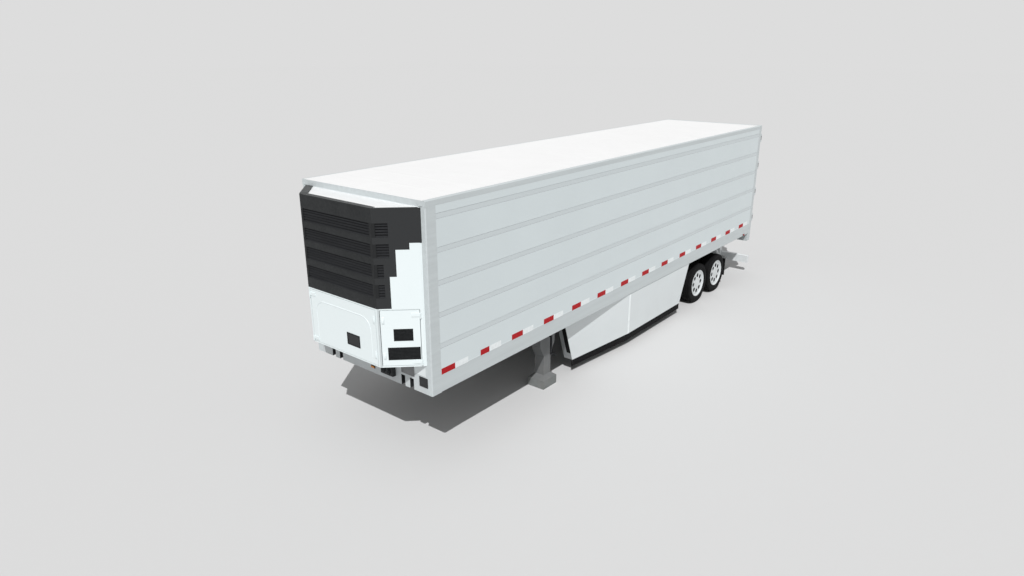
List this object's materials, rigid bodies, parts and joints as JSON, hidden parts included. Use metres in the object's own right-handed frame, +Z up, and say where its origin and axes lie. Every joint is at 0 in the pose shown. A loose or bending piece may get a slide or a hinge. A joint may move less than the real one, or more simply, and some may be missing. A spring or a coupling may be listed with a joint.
{
  "type": "refrigerated semi trailer",
  "caption": "White refrigerated box semi trailer with tandem axles, twin wheels, side skirts, landing gear, hinged rear doors and a dark cooling unit on its nose.",
  "frame": {"origin": "On the ground at the middle of the bounding box, below the trailer's centre plane.", "axes": "+Z is up, -Y points to the nose with its cooling unit, +Y to the rear doors, and +X to the street side (the trailer's left when it faces forwards)."},
  "size_m": [2.59, 12.362, 3.873],
  "materials": {
    "body_white": "satin",
    "roof_white": "satin",
    "rail_grey": "satin",
    "bare_aluminium": "satin",
    "steel_dark": "satin",
    "unit_white": "gloss",
    "unit_dark": "matte",
    "wheel_white": "gloss",
    "tyre_black": "matte",
    "rubber_black": "matte",
    "lamp_red": "gloss",
    "lamp_amber": "gloss",
    "tape_red": "satin",
    "tape_white": "satin",
    "bright_steel": "satin"
  },
  "bodies": {
    "trailer": {"front_wall": "body_white", "nose_sill": "body_white", "side_wall_street": "body_white", "side_wall_curb": "body_white", "skirt_front_street": "body_white", "skirt_front_curb": "body_white", "skirt_rear_street": "body_white", "skirt_rear_curb": "body_white", "underride_guard": "body_white", "roof": "roof_white", "bottom_rail_street": "rail_grey", "bottom_rail_curb": "rail_grey", "top_rail_street": "rail_grey", "top_rail_curb": "rail_grey", "corner_post_street": "rail_grey", "corner_post_curb": "rail_grey", "floor": "bare_aluminium", "rear_frame": "bare_aluminium", "fuel_tank": "bare_aluminium", "underframe": "steel_dark", "coupler": "steel_dark", "landing_leg_street": "steel_dark", "landing_leg_curb": "steel_dark", "landing_brace": "steel_dark", "landing_crank": "steel_dark", "slider_frame": "steel_dark", "axle_1": "steel_dark", "axle_2": "steel_dark", "unit_engine": "steel_dark", "unit_frame": "unit_white", "unit_cowl": "unit_dark", "unit_condenser": "unit_dark", "connector_box": "unit_dark", "skirt_strip_street": "rubber_black", "skirt_strip_curb": "rubber_black", "mudflap_street": "rubber_black", "mudflap_curb": "rubber_black", "air_spring_1_street": "rubber_black", "air_spring_1_curb": "rubber_black", "air_spring_2_street": "rubber_black", "air_spring_2_curb": "rubber_black", "tail_lamps": "lamp_red"},
    "twin_wheels_1_street": {"wheel_1_street": "wheel_white", "tyre_1_street_outer": "tyre_black", "tyre_1_street_inner": "tyre_black"},
    "twin_wheels_2_street": {"wheel_2_street": "wheel_white", "tyre_2_street_outer": "tyre_black", "tyre_2_street_inner": "tyre_black"},
    "twin_wheels_1_curb": {"wheel_1_curb": "wheel_white", "tyre_1_curb_outer": "tyre_black", "tyre_1_curb_inner": "tyre_black"},
    "twin_wheels_2_curb": {"wheel_2_curb": "wheel_white", "tyre_2_curb_outer": "tyre_black", "tyre_2_curb_inner": "tyre_black"},
    "cargo_door_street": {"rear_door_street": "body_white"},
    "cargo_door_curb": {"rear_door_curb": "body_white"},
    "service_door_front": {"unit_front_door": "unit_white"},
    "service_door_street": {"unit_side_door_street": "unit_white"},
    "service_door_curb": {"unit_side_door_curb": "unit_white"}
  },
  "joints": [
    {"name": "twin_wheels_1_street_spin", "type": "hinge", "parent": "trailer", "child": "twin_wheels_1_street", "pos_m": [0.9775, 3.081, 0.465], "axis": [1, 0, 0], "continuous": true},
    {"name": "twin_wheels_2_street_spin", "type": "hinge", "parent": "trailer", "child": "twin_wheels_2_street", "pos_m": [0.9775, 4.111, 0.465], "axis": [1, 0, 0], "continuous": true},
    {"name": "twin_wheels_1_curb_spin", "type": "hinge", "parent": "trailer", "child": "twin_wheels_1_curb", "pos_m": [-0.9775, 3.081, 0.465], "axis": [1, 0, 0], "continuous": true},
    {"name": "twin_wheels_2_curb_spin", "type": "hinge", "parent": "trailer", "child": "twin_wheels_2_curb", "pos_m": [-0.9775, 4.111, 0.465], "axis": [1, 0, 0], "continuous": true},
    {"name": "cargo_door_street_hinge", "type": "hinge", "parent": "trailer", "child": "cargo_door_street", "pos_m": [1.277, 6.141, 2.5], "axis": [0, 0, -1], "range_deg": [0, 270]},
    {"name": "cargo_door_curb_hinge", "type": "hinge", "parent": "trailer", "child": "cargo_door_curb", "pos_m": [-1.277, 6.141, 2.5], "axis": [0, 0, 1], "range_deg": [0, 270]},
    {"name": "service_door_front_hinge", "type": "hinge", "parent": "trailer", "child": "service_door_front", "pos_m": [-0.718, -6.17, 1.97], "axis": [0, 0, -1], "range_deg": [0, 110]},
    {"name": "service_door_street_hinge", "type": "hinge", "parent": "trailer", "child": "service_door_street", "pos_m": [1.17462, -5.77235, 1.97], "axis": [0, 0, 1], "range_deg": [0, 120]},
    {"name": "service_door_curb_hinge", "type": "hinge", "parent": "trailer", "child": "service_door_curb", "pos_m": [-1.17462, -5.77235, 1.97], "axis": [0, 0, -1], "range_deg": [0, 120]}
  ]
}
